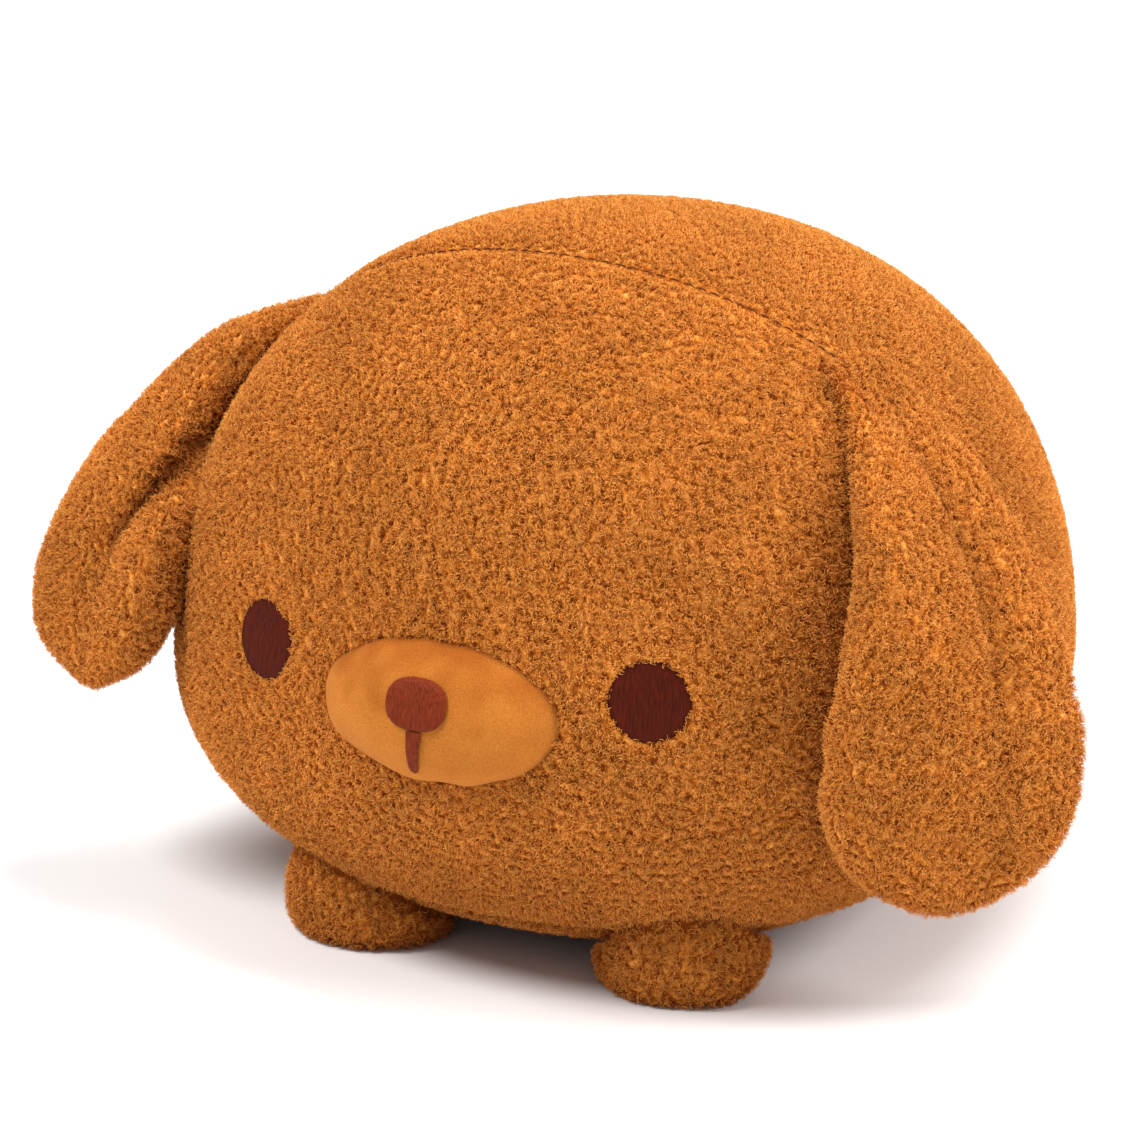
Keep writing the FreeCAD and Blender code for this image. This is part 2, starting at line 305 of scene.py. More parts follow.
WHITE = (1.0, 1.0, 1.0)
PILE_DARK = (0.36, 0.082, 0.009)
PILE_MIDDLE = (0.70, 0.222, 0.024)
PILE_LIGHT = (0.90, 0.400, 0.088)
PATCH_SCALE = 28.0  # lighter and darker patches of plush, this many to the metre
PAINTED_SHADE_REACH = 60.0 * MM  # painted shade: a fibre is darker and redder if it has plush this near on most sides


def add_node(tree, kind, inputs=(), **settings):
    """A new node. Each input is a value, or the output of another node."""
    node = tree.nodes.new(kind)
    for key, value in settings.items():
        setattr(node, key, value)
    for key, value in dict(inputs).items():
        if isinstance(value, bpy.types.NodeSocket):
            tree.links.new(value, node.inputs[key])
        else:
            node.inputs[key].default_value = value
    return node


class Shader:
    """A short way to write a procedural material."""

    def __init__(self, name):
        self.material = bpy.data.materials.new(name)
        self.material.use_nodes = True
        self.tree = self.material.node_tree
        self.surface = self.tree.nodes["Principled BSDF"]

    def node(self, kind, inputs=(), **settings):
        return add_node(self.tree, kind, inputs, **settings)

    def set(self, **values):
        for key, value in values.items():
            self.surface.inputs[key.replace("_", " ")].default_value = value

    def connect(self, source, key):
        self.tree.links.new(source, self.surface.inputs[key])

    def coordinates(self):
        return self.node("ShaderNodeTexCoord").outputs["Object"]

    def attribute(self, name):
        return self.node("ShaderNodeAttribute", attribute_name=name).outputs["Fac"]

    def noise(self, scale, detail=3.0, where=None):
        inputs = {"Vector": where or self.coordinates(), "Scale": scale, "Detail": detail}
        return self.node("ShaderNodeTexNoise", inputs).outputs["Fac"]

    def openness(self, distance):
        """How much of the surroundings this point sees: low in creases and under the ears."""
        inputs = {"Distance": distance}
        return self.node("ShaderNodeAmbientOcclusion", inputs, samples=4).outputs["AO"]

    def math(self, operation, first, second):
        node = self.node("ShaderNodeMath", {0: first, 1: second}, operation=operation)
        return node.outputs["Value"]

    def ramp(self, factor, *stops):
        """A colour that depends on a number; each stop is (number, colour)."""
        ramp = self.node("ShaderNodeValToRGB", {"Fac": factor})
        elements = ramp.color_ramp.elements
        while len(elements) < len(stops):
            elements.new(0.5)
        for element, (position, colour) in zip(elements, stops):
            element.position = position
            element.color = (*colour, 1.0)
        return ramp.outputs["Color"]

    def tint(self, colour, factor, *stops):
        """A colour multiplied by a ramp of tints."""
        inputs = {"Factor": 1.0, 6: colour, 7: self.ramp(factor, *stops)}
        settings = {"data_type": "RGBA", "blend_type": "MULTIPLY"}
        return self.node("ShaderNodeMix", inputs, **settings).outputs[2]

    def paint(self, colour):
        self.connect(colour, "Base Color")

    def bump(self, height, strength, distance):
        inputs = {"Height": height, "Strength": strength, "Distance": distance}
        self.connect(self.node("ShaderNodeBump", inputs).outputs["Normal"], "Normal")


def pile_cloth():
    """The plush itself: dark between the tufts, a painted shade for the gaps that lie in the
    fibres' shadow, and light on their crowns.
    """
    shader = Shader("curly_plush_cloth")
    tuft = shader.math("ADD", shader.attribute("tuft"), -0.15)
    fleck = shader.noise(900.0, 2.0)
    tuft, fleck = shader.math("MULTIPLY", tuft, 0.7), shader.math("MULTIPLY", fleck, 0.45)
    height = shader.math("ADD", tuft, fleck)
    # painted shade: the gaps between the tufts get PILE_DARK and the crowns PILE_LIGHT
    colour = shader.ramp(height, (0.2, PILE_DARK), (0.5, PILE_MIDDLE), (0.85, PILE_LIGHT))
    patch = shader.noise(PATCH_SCALE, 2.0)
    shader.paint(shader.tint(colour, patch, (0.3, (0.82, 0.80, 0.78)), (0.7, WHITE)))
    shader.set(Roughness=0.92, Sheen_Weight=0.15, Sheen_Roughness=0.5)
    shader.set(Sheen_Tint=(1.0, 0.6, 0.3, 1.0), Specular_IOR_Level=0.05)
    shader.bump(shader.noise(1500.0, 2.0), 0.5, 0.4 * MM)
    return shader.material


def pile_fibre():
    """One curly fibre: darker at the root, with its own random tone, and painted shade that
    darkens and reddens it in creases and under the ears.
    """
    shader = Shader("curly_plush_fibre")
    hair = shader.node("ShaderNodeHairInfo")
    root_to_tip, own_shade = hair.outputs["Intercept"], hair.outputs["Random"]
    patch = shader.noise(PATCH_SCALE, 2.0)
    crease = shader.openness(PAINTED_SHADE_REACH)
    colour = shader.ramp(root_to_tip, (0.0, PILE_DARK), (0.45, PILE_MIDDLE), (1.0, PILE_LIGHT))
    shades = ((0.0, (0.80, 0.76, 0.72)), (0.5, WHITE), (1.0, (1.10, 1.12, 1.14)))
    colour = shader.tint(colour, own_shade, *shades)
    colour = shader.tint(colour, patch, (0.3, (0.85, 0.83, 0.8)), (0.7, WHITE))
    # painted shade: fibres in creases and under the ears are darker and redder
    shader.paint(shader.tint(colour, crease, (0.0, (0.50, 0.22, 0.10)), (0.30, WHITE)))
    shader.set(Roughness=0.85, Specular_IOR_Level=0.06, Sheen_Weight=0.08, Sheen_Roughness=0.5)
    shader.set(Sheen_Tint=(1.0, 0.8, 0.6, 1.0))
    return shader.material


def short_pile():
    """The muzzle's velvet-like cloth, with painted shade that darkens it towards the top."""
    shader = Shader("short_pile_cloth")
    fleck = shader.noise(2200.0, 2.0)
    patch, painted_top_shade = shader.noise(45.0, 2.0), shader.attribute("painted_top_shade")
    colour = shader.ramp(fleck, (0.3, (0.39, 0.115, 0.014)), (0.7, (0.55, 0.200, 0.034)))
    colour = shader.tint(colour, patch, (0.35, (0.9, 0.86, 0.8)), (0.65, WHITE))
    shader.paint(shader.tint(colour, painted_top_shade, (0.1, WHITE), (0.9, (0.74, 0.62, 0.5))))
    shader.set(Roughness=0.85, Sheen_Weight=0.15, Sheen_Roughness=0.4, Specular_IOR_Level=0.06)
    shader.set(Sheen_Tint=(1.0, 0.6, 0.3, 1.0))
    shader.bump(fleck, 0.35, 0.2 * MM)
    return shader.material


def thread(name, dark, light):
    """Embroidery thread with a slight gloss, shaded along each stitch."""
    shader = Shader(name)
    inputs = {"Vector": shader.coordinates(), "Scale": (1.0, 1.0, 0.08)}
    stretched = shader.node("ShaderNodeMapping", inputs).outputs["Vector"]
    strand = shader.noise(1800.0, 2.0, stretched)
    shader.paint(shader.ramp(strand, (0.3, dark), (0.72, light)))
    shader.set(Roughness=0.65, Specular_IOR_Level=0.08)
    shader.bump(strand, 0.4, 0.15 * MM)
    return shader.material


def woven(name, dark, light):
    """Plain woven backing cloth."""
    shader = Shader(name)
    inputs = {"Vector": shader.coordinates(), "Scale": 350.0}
    rows = shader.node("ShaderNodeTexWave", inputs, bands_direction="X")
    columns = shader.node("ShaderNodeTexWave", inputs, bands_direction="Z")
    weave = shader.math("MULTIPLY", rows.outputs["Fac"], columns.outputs["Fac"])
    shader.paint(shader.ramp(weave, (0.1, dark), (0.8, light)))
    shader.set(Roughness=0.9)
    shader.bump(weave, 0.4, 0.2 * MM)
    return shader.material


def fibre_fill():
    """Loose white polyester fill."""
    shader = Shader("fibre_fill")
    tangle = shader.noise(260.0, 6.0)
    shader.paint(shader.ramp(tangle, (0.3, (0.62, 0.61, 0.58)), (0.7, (0.9, 0.9, 0.88))))
    shader.set(Roughness=1.0, Sheen_Weight=0.3)
    shader.bump(tangle, 0.8, 1.0 * MM)
    return shader.material


CLOTH = pile_cloth()
FIBRE = pile_fibre()
VELVET = short_pile()
# Eyes, nose and mouth are one thread: the eyes' copy is darker, painted shade for their place sunk
# in the pile, and the copy for nose and mouth lighter, painted light for the raised muzzle.
SHADED_EYE_THREAD = thread("shaded_eye_thread", (0.038, 0.004, 0.001), (0.090, 0.009, 0.002))
LIT_NOSE_THREAD = thread("lit_nose_thread", (0.105, 0.013, 0.003), (0.215, 0.031, 0.008))
SEAM_THREAD = thread("seam_thread", (0.09, 0.022, 0.006), (0.20, 0.06, 0.016))
BACKING = woven("backing_cloth", (0.45, 0.42, 0.37), (0.80, 0.77, 0.70))
FILL = fibre_fill()


def set_material(obj, material):
    obj.data.materials.clear()
    obj.data.materials.append(material)


def dress(obj, material, body, node):
    """Gives a piece its material and its body, and hides the CAD node it stands for.

    The body is None for a piece that is left unattached here.
    """
    set_material(obj, material)
    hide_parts(node)
    if body:
        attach(obj, body)


# ---- the pile


def sample_surface(obj, seed, keep):
    """Random points on a mesh with their normals; keep says how likely each vertex is to grow."""
    mesh = obj.data
    mesh.calc_loop_triangles()
    corners = np.empty(len(mesh.loop_triangles) * 3, np.int32)
    mesh.loop_triangles.foreach_get("vertices", corners)
    corners = corners.reshape(-1, 3)
    points = coordinates(obj)
    normals = vertex_normals(obj)
    a, b, c = (points[corners[:, i]] for i in range(3))
    areas = np.linalg.norm(np.cross(b - a, c - a), axis=1) / 2 * keep[corners].mean(1)
    rng = np.random.default_rng(seed)
    count = int(areas.sum() / MM ** 2 * FIBRES_PER_MM2)
    chosen = rng.choice(len(corners), count, p=areas / areas.sum())
    first, second = rng.random((2, count, 1))
    fold = first + second > 1
    first, second = np.where(fold, 1 - first, first), np.where(fold, 1 - second, second)
    mix = np.concatenate([1 - first - second, first, second], axis=1)[:, :, None]
    return (points[corners[chosen]] * mix).sum(1), unit((normals[corners[chosen]] * mix).sum(1))


def grow_pile(name, obj, body, seed, keep, length=None):
    """Short curly fibres on a mesh. They lean together in tufts, each with its own curl."""
    roots, normals = sample_surface(obj, seed, keep)
    count = len(roots)
    rng = np.random.default_rng(seed + 1)
    leans = [waves(roots, TUFT_SIZE * 0.8, SEED_LEAN + axis) for axis in range(3)]
    lean = np.column_stack(leans)
    lean += rng.normal(scale=0.35, size=(count, 3))
    lean -= normals * (lean * normals).sum(1, keepdims=True)
    side = unit(np.cross(normals, rng.normal(size=(count, 3))))
    other = np.cross(normals, side)
    height = PILE_HEIGHT * rng.uniform(0.55, 1.1, count)
    if length is not None:
        height = height * length(roots)
    curl = PILE_CURL * rng.uniform(0.5, 1.3, count)
    turns = rng.uniform(0.6, 1.6, count)
    phase = rng.uniform(0, 2 * math.pi, count)
    steps = np.linspace(0, 1, FIBRE_POINTS)
    angle = phase[:, None] + 2 * math.pi * turns[:, None] * steps
    swing = curl[:, None] * np.sqrt(steps)
    rise = height[:, None] * steps ** 0.85
    bend = PILE_BEND * height[:, None] * steps ** 1.5
    points = roots[:, None] + normals[:, None] * rise[:, :, None]
    points = points + lean[:, None] * bend[:, :, None]
    points += side[:, None] * (swing * np.cos(angle))[:, :, None]
    points += other[:, None] * (swing * np.sin(angle))[:, :, None]
    hair = bpy.data.hair_curves.new(name)
    hair.add_curves([FIBRE_POINTS] * count)
    hair.position_data.foreach_set("vector", points.astype(np.float32).ravel())
    radius = hair.attributes.new("radius", "FLOAT", "POINT")
    taper = FIBRE_RADIUS * (1.0 - FIBRE_TAPER * steps)
    radius.data.foreach_set("value", np.tile(taper, count).astype(np.float32))
    hair.materials.append(FIBRE)
    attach(add_object(name, hair), body)


def tufted(obj, keep, depth=CLOTH_DEPTH):
    """Pushes a smooth skin in to the cloth, then out again in tufts, by keep's share."""
    crown = tufts(coordinates(obj)) * keep
    push_out(obj, TUFT_HEIGHT * crown - depth)
    # the cloth's material paints shade where this is low, in the gaps between the tufts
    store(obj, "tuft", crown)


# ---- body panels


def muzzle_reach(points):
    """1 on the rim of the muzzle's opening, less inside it; large behind the face."""
    reach = np.hypot(points[:, 0] / MUZZLE_HALF_X, (points[:, 2] - MUZZLE_Z) / MUZZLE_HALF_Z)
    return np.where(points[:, 1] < EGG.centre[1], reach, 9.0)


def eye_reach(points):
    """1 on the rim of the nearer eye, less inside it."""
    distances = [np.linalg.norm(points - centre, axis=1) for centre in EYES.values()]
    return np.min(distances, axis=0) / EYE_RADIUS


def seam_dip(points):
    """How far the two body seams pull the cloth in."""
    crown = (points - SEAM_POINT) @ SEAM_NORMAL
    crown = np.where(points[:, 2] > BELLY_Z - SEAM_WIDTH, crown, 1.0)
    belly = points[:, 2] - BELLY_Z
    dips = [np.exp(-((distance / SEAM_WIDTH) ** 2)) for distance in (crown, belly)]
    return SEAM_DEPTH * np.maximum(*dips)


def bare(points):
    """0 where the face has no pile of its own, under the muzzle and the eyes, else 1."""
    muzzle = np.clip((muzzle_reach(points) - 0.97) / 0.04, 0, 1)
    eye = np.clip((eye_reach(points) - 0.93) / 0.08, 0, 1)
    return muzzle * eye


def body_skin():
    """The whole body as one fine skin with its seams and pockets drawn in."""
    directions, faces = cube_sphere(BODY_GRID)
    obj = mesh_object("body_skin", EGG.place(directions), faces)
    refine(obj)
    points = EGG.place(unit(EGG.local(coordinates(obj))))
    keep = bare(points)
    crown = tufts(points) * keep
    sink = CLOTH_DEPTH - TUFT_HEIGHT * crown + seam_dip(points) + POCKET_DEPTH * (1 - keep)
    set_coordinates(obj, points - EGG.normal(points) * sink[:, None])
    # the cloth's material paints shade where this is low, in the gaps between the tufts
    store(obj, "tuft", crown)
    return obj


def cut(build, point, normal):
    """Removes all that lies ahead of a plane."""
    geometry = build.verts[:] + build.edges[:] + build.faces[:]
    plane = {"plane_co": Vector(point), "plane_no": Vector(normal)}
    bmesh.ops.bisect_plane(build, geom=geometry, clear_outer=True, **plane)


def turn_in(build, hem, middle_near):
    """Adds a hem to every free edge, pointing to the middle that is given for each point."""
    rim = [edge for edge in build.edges if edge.is_boundary]
    turned = bmesh.ops.extrude_edge_only(build, edges=rim)["geom"]
    for vertex in [part for part in turned if isinstance(part, bmesh.types.BMVert)]:
        here = np.array(vertex.co)
        vertex.co = Vector(here + unit(middle_near(here) - here) * hem)


def body_panel(name, skin, planes, opening=False):
    """One panel of the body: the skin between some planes, its edges turned in as hems."""
    build = bmesh.new()
    build.from_mesh(skin.data)
    for point, normal in planes:
        cut(build, point, normal)
    if opening:
        points = np.array([v.co[:] for v in build.verts])
        inside = muzzle_reach(points) < 0.9
        doomed = [f for f in build.faces if all(inside[v.index] for v in f.verts)]
        bmesh.ops.delete(build, geom=doomed, context="FACES")
    turn_in(build, HEM, lambda here: EGG.centre)
    return built_object(name, build)


def from_crown_seam(points):
    return np.abs((points - SEAM_POINT) @ SEAM_NORMAL)


def grows(obj):
    """Where a body panel carries pile: not on hems, nor under the muzzle or the eyes."""
    points = coordinates(obj)
    on_outside = (vertex_normals(obj) * EGG.normal(points)).sum(1) > 0.35
    off_seam = np.clip((from_crown_seam(points) - SEAM_GAP) / (2 * SEAM_GAP), 0, 1)
    return bare(points) * on_outside * off_seam


def pile_length(roots):
    """The pile is shorter where it meets stitching."""
    muzzle = np.clip((muzzle_reach(roots) - 0.95) / 0.12, 0, 1)
    eye = np.clip((eye_reach(roots) - 0.9) / 0.25, 0, 1)
    crown = np.where(roots[:, 2] > BELLY_Z, from_crown_seam(roots), 1.0)
    seam = 0.3 + 0.7 * np.clip(crown / (6 * MM), 0, 1)
    return (0.45 + 0.55 * np.minimum(muzzle, eye)) * seam


def finish_plush(obj, body, node, seed, keep, length=None):
    dress(obj, CLOTH, body, node)
    grow_pile(obj.name + "_pile", obj, body, seed, keep, length)


def make_body():
    skin = body_skin()
    ahead = (SEAM_POINT, SEAM_NORMAL)
    behind = (SEAM_POINT, -SEAM_NORMAL)
    above = ((0, 0, BELLY_Z), (0, 0, -1))
    below = ((0, 0, BELLY_Z), (0, 0, 1))
    panels = {
        "face_panel": body_panel("face_plush", skin, (ahead, above), opening=True),
        "back_panel": body_panel("back_plush", skin, (behind, above)),
        "belly_panel": body_panel("belly_plush", skin, (below,)),
    }
    bpy.data.objects.remove(skin)
    for number, (node, obj) in enumerate(panels.items()):
        finish_plush(obj, "body", node, SEED_BODY_PILE + 10 * number, grows(obj), pile_length)


def make_filling(name, node, body, voxel, lump):
    """A hidden padded core: the CAD core's skin, drawn in a little and made lumpy."""
    obj = soft_copy(name, (node,), voxel, 2)
    push_out(obj, lump * (waves(coordinates(obj), 22 * MM, SEED_LUMPS) - 1.6))
    dress(obj, FILL, body, node)


# ---- muzzle, nose and mouth

MUZZLE_RINGS, MUZZLE_SPOKES = 40, 160
MUZZLE_FAN = 8.0  # how fast the dome turns outwards, in 1/m
MUZZLE_RISE = EGG.front_at(0.0, MUZZLE_Z) - MUZZLE_LOW[1] + CLOTH_DEPTH


def muzzle_front(x, z):
    """The y of the muzzle's velvet at x and z."""
    reach = np.clip(np.hypot(x / MUZZLE_HALF_X, (z - MUZZLE_Z) / MUZZLE_HALF_Z), 0, 1)
    face = EGG.front_at(x, z) + CLOTH_DEPTH
    return face - MUZZLE_RISE * (1 - reach ** 2.2) ** 0.62


def make_muzzle():
    """A domed oval whose edge is turned in under the face's pile."""
    rings, spokes = MUZZLE_RINGS, MUZZLE_SPOKES
    vertices = [(0.0, muzzle_front(0.0, MUZZLE_Z), MUZZLE_Z)]
    for ring in range(1, rings + 1):
        reach = math.sin(math.pi / 2 * ring / rings)
        for spoke in range(spokes):
            angle = 2 * math.pi * spoke / spokes
            x = MUZZLE_HALF_X * reach * math.cos(angle)
            z = MUZZLE_Z + MUZZLE_HALF_Z * reach * math.sin(angle)
            vertices.append((x, float(muzzle_front(x, z)), z))
    for spoke in range(spokes):
        x, y, z = vertices[1 + (rings - 1) * spokes + spoke]
        vertices.append((0.97 * x, y + HEM, MUZZLE_Z + 0.97 * (z - MUZZLE_Z)))
    faces = []
    for spoke in range(spokes):
        faces.append((0, 1 + (spoke + 1) % spokes, 1 + spoke))
        faces += strip(1, rings + 1, spokes, spoke)
    obj = mesh_object("muzzle_velvet", vertices, faces)
    refine(obj)
    points = coordinates(obj)
    push_out(obj, 0.4 * MM * waves(points, 20 * MM, SEED_MUZZLE))
    upper = (points[:, 2] - MUZZLE_Z) / MUZZLE_HALF_Z
    # painted shade: darker towards the top of the muzzle, broken up by noise
    store(obj, "painted_top_shade", np.clip(upper + 0.25 * waves(points, 14 * MM, SEED_TOP_SHADE), 0, 1))
    dress(obj, VELVET, "body", "muzzle_cover")


STITCH_PITCH = 0.62 * MM
STITCH_HEIGHT = 0.16 * MM
STITCH_GRID = 0.24 * MM  # the mesh of the stitching
STITCH_RIM = 0.16  # the rolled rim, as a share of the patch


def stitched_patch(name, node, cotton, raised, outline, surface, out_of):
    """Satin stitching: upright ridges of thread over a patch, its rim rolled down.

    outline(x, z) is 1 on the rim and less inside. surface(x, z) gives points under the patch.
    """
    low, high = box_of(node)
    margin = 1 * MM
    xs = np.arange(low[0] - 3 * margin, high[0] + margin, STITCH_GRID)
    zs = np.arange(low[2] - margin, high[2] + margin, STITCH_GRID)
    grid_x, grid_z = np.meshgrid(xs, zs)
    reach = outline(grid_x, grid_z)
    inside = reach <= 1.0
    edge = np.clip((1 - reach) / STITCH_RIM, 0, 1)
    ridge = np.abs(np.sin(math.pi * grid_x / STITCH_PITCH)) ** 0.7
    lift = raised * np.sqrt(edge) + STITCH_HEIGHT * ridge * np.sqrt(edge)
    base = surface(grid_x.ravel(), grid_z.ravel())
    points = base + out_of(base) * lift.ravel()[:, None]
    number = np.arange(grid_x.size).reshape(grid_x.shape)
    whole = inside[:-1, :-1] & inside[1:, :-1] & inside[1:, 1:] & inside[:-1, 1:]
    corners = (number[:-1, :-1], number[:-1, 1:], number[1:, 1:], number[1:, :-1])
    quads = np.stack(corners, axis=-1)[whole]
    used, faces = np.unique(quads, return_inverse=True)
    obj = mesh_object(name, points[used], faces.reshape(-1, 4))
    dress(obj, cotton, "body", node)


def on_muzzle(x, z):
    return np.column_stack([x, muzzle_front(x, z) - 0.35 * MM, z])


def forwards(points):
    """Outward directions on the muzzle: mostly ahead, fanning out over the dome."""
    across, up = points[:, 0] * MUZZLE_FAN, (points[:, 2] - MUZZLE_Z) * MUZZLE_FAN
    return unit(np.column_stack([across, np.full(len(points), -1.0), up]))


NOSE_FULLNESS = 2.5  # exponent of the nose's outline: 2 is an oval, more is squarer
NOSE_FLATTEN = 1.08  # the nose is this much lower than the CAD oval
MOUTH_LEAN = 2.6 * MM


def make_nose():
    node = "nose_embroidery"
    low, high = box_of(node)
    middle, half = (low + high) / 2, (high - low) / 2

    def outline(x, z):
        across, up = np.abs(x - middle[0]) / half[0], np.abs(z - middle[2]) / half[2]
        full = across ** NOSE_FULLNESS + (NOSE_FLATTEN * up) ** NOSE_FULLNESS
        return full ** (1 / NOSE_FULLNESS)

    patch = ("nose_stitching", node, LIT_NOSE_THREAD, 1.3 * MM)
    stitched_patch(*patch, outline, on_muzzle, forwards)


def make_mouth():
    """A short line of stitches below the nose. It leans, and is wider at the top."""
    node = "mouth_embroidery"
    low, high = box_of(node)
    half = (high[0] - low[0]) / 2
    top = box_of("nose_embroidery")[0][2]

    def outline(x, z):
        below = np.clip((low[2] + half) - z, 0, None)
        fall = np.clip((top - z) / (top - low[2]), 0, 1)
        capped = np.hypot((x + MOUTH_LEAN * fall) / (half * (1.25 - 0.5 * fall)), below / half)
        return np.where(z > top + 1.0 * MM, 2.0, capped)

    patch = ("mouth_stitching", node, LIT_NOSE_THREAD, 0.7 * MM)
    stitched_patch(*patch, outline, on_muzzle, forwards)


def make_eye(side):
    """A round patch of stitches, sunk in the pile and drawn on the face's own slope."""
    centre = EYES[side]
    normal = EGG.normal(centre[None])[0]
    across = unit(np.cross(np.array([0.0, 0.0, 1.0]), normal))
    up = np.cross(normal, across)

    def face_points(x, z):
        return np.column_stack([x, EGG.front_at(x, z), z])

    def on_face(x, z):
        points = face_points(x, z)
        return points - EGG.normal(points) * (CLOTH_DEPTH - 0.4 * MM)

    def outline(x, z):
        offset = face_points(x.ravel(), z.ravel()) - centre
        reach = np.hypot(offset @ across, offset @ up) / EYE_RADIUS
        return reach.reshape(x.shape)

    patch = (side + "_eye_stitching", side + "_eye_embroidery", SHADED_EYE_THREAD, 0.9 * MM)
    stitched_patch(*patch, outline, on_face, EGG.normal)


# ---- feet, ears and tail

PADDING = {
    "use_pressure": True,
    "uniform_pressure_force": 8.0,
    "quality": 5,
    "mass": 0.3,
    "tension_stiffness": 12.0,
    "compression_stiffness": 12.0,
    "shear_stiffness": 5.0,
    "bending_stiffness": 0.3,
    "shrink_min": -0.03,
}


def puff(obj, held, limit, frames=18):
    """Fills a closed cloth skin with air for a moment, so it rounds and creases like padding."""
    group = obj.vertex_groups.new(name="held")
    group.add([int(index) for index in held], 1.0, "REPLACE")
    settings = obj.modifiers.new("padding", "CLOTH").settings
    for key, value in PADDING.items():
        setattr(settings, key, value)
    settings.effector_weights.gravity = 0.0
    settings.vertex_group_mass = group.name
    before = coordinates(obj)
    for number in range(1, frames + 1):
        bpy.context.scene.frame_set(number)
    apply_modifiers(obj)
    bpy.context.scene.frame_set(1)
    moved = coordinates(obj) - before
    far = np.linalg.norm(moved, axis=1, keepdims=True)
    set_coordinates(obj, before + moved * np.minimum(1, limit / np.maximum(far, 1e-9)))


CORE_GAP = 2.5 * MM  # kept between a filling and its skin


def make_core(name, skin, middle, share, body, node):
    """The filling of a padded skin: the skin drawn in towards its middle, and lumpy."""
    core = add_object(name, skin.data.copy())
    reach = coordinates(core) - middle
    clear = 1 - CORE_GAP / np.maximum(np.linalg.norm(reach, axis=1, keepdims=True), CORE_GAP)
    set_coordinates(core, middle + reach * share * np.maximum(clear, 0.1))
    refine(core)
    push_out(core, 0.4 * MM * waves(coordinates(core), 18 * MM, SEED_CORE))
    dress(core, FILL, body, node)


FOOT_CORE = 0.9  # the stuffing's size, as a share of the cover's
FOOT_PINCH = 15.0 * MM  # the foot narrows over this height, up to where it is sewn on
FOOT_PINCH_SHARE = 0.16  # by this share of its width
FOOT_HEEL_RISE = 13.0 * MM  # the sole curves up this far at its outer rear edge
FOOT_HEEL_HEIGHT = 25.0 * MM  # above this the foot keeps its shape
FOOT_DEPTH = 0.8 * CLOTH_DEPTH
FOOT_REST = 0.8 * MM  # the tufts of the sole are pressed flat this far above the floor


def make_foot(place):
    """A padded stub: flat below where it rests, rounded and with pile all round."""
    cover, stuffing = place + "_foot_cover", place + "_foot_stuffing"
    obj = soft_copy(place + "_foot_plush", (cover, stuffing), 4.5 * MM, 2)
    flat = coordinates(obj)
    held = np.flatnonzero((flat[:, 2] < 1.5 * MM) | (vertex_normals(obj)[:, 2] > 0.5))
    puff(obj, held, 2.5 * MM, frames=12)
    low, high = box_of(cover)
    middle = (low + high) / 2
    points = coordinates(obj)
    below = (full_length(EGG.local(points)) - 1) * EGG.half_width
    pinch = 1 - FOOT_PINCH_SHARE * np.clip(1 - below / FOOT_PINCH, 0, 1) ** 1.6
    sideways, backward = ((points - middle)[:, :2] / (high - low)[:2] * 2).T
    outward = np.abs(sideways) * np.sign(sideways * middle[0])
    heel = np.clip(backward * 0.8 + outward * 0.6 - 0.15, 0, 1)
    points[:, :2] = middle[:2] + (points[:, :2] - middle[:2]) * pinch
    points[:, 2] += FOOT_HEEL_RISE * heel ** 2 * np.clip(1 - points[:, 2] / FOOT_HEEL_HEIGHT, 0, 1)
    set_coordinates(obj, points)
    make_core(place + "_foot_filling", obj, middle, FOOT_CORE, "body", stuffing)
    refine(obj, 2)
    facing = vertex_normals(obj)[:, 2]
    keep = np.where(facing > 0.45, 0.0, 1.0 - 0.55 * np.clip(-facing, 0, 1))
    tufted(obj, keep, FOOT_DEPTH)
    points = coordinates(obj)
    points[:, 2] = np.maximum(points[:, 2], FOOT_REST)
    set_coordinates(obj, points)
    finish_plush(obj, "body", cover, SEED_FOOT_PILE + len(place), (keep > 0.5).astype(float))


def flap_sections(points, root):
    """Walks down a padded flap from its root.

    Each section is its centre, its two directions across, and its half sizes along them.
    """
    step = SECTION_STEP
    nearest = np.argsort(np.linalg.norm(points - root, axis=1))[:400]
    centre, heading = root, unit(points[nearest].mean(0) - root)
    wide = np.array([0.0, -1.0, 0.0])
    found = []
    while len(found) < 80:
        ahead = centre + heading * step
        near = points[np.abs((points - ahead) @ heading) < 0.6 * step]
        near = near[np.linalg.norm(near - ahead, axis=1) < 60 * MM]
        if len(near) < 12:
            break
        flat = near - ahead
        flat = flat - (flat @ heading)[:, None] * heading
        across = np.linalg.svd(flat - flat.mean(0), full_matrices=False)[2][0]
        across = across * np.sign(across @ wide)
        deep = np.cross(heading, across)
        spread, depth = flat @ across, flat @ deep
        shift = across * (spread.max() + spread.min()) / 2
        shift = shift + deep * (depth.max() + depth.min()) / 2
        if np.linalg.norm(shift) > 3 * step:
            break
        moved = unit(ahead + shift - centre)
        centre, wide = ahead + shift, across
        found.append((centre, across, deep, np.ptp(spread) / 2, np.ptp(depth) / 2))
        heading = unit(0.7 * heading + 0.3 * moved)
    return found


def resample(values, shares):
    """Rows of numbers read off at shares of the way from the first row to the last."""
    values = np.asarray(values)
    old = np.linspace(0, 1, len(values))
    if values.ndim == 1:
        return np.interp(shares, old, values)
    return np.column_stack([np.interp(shares, old, column) for column in values.T])


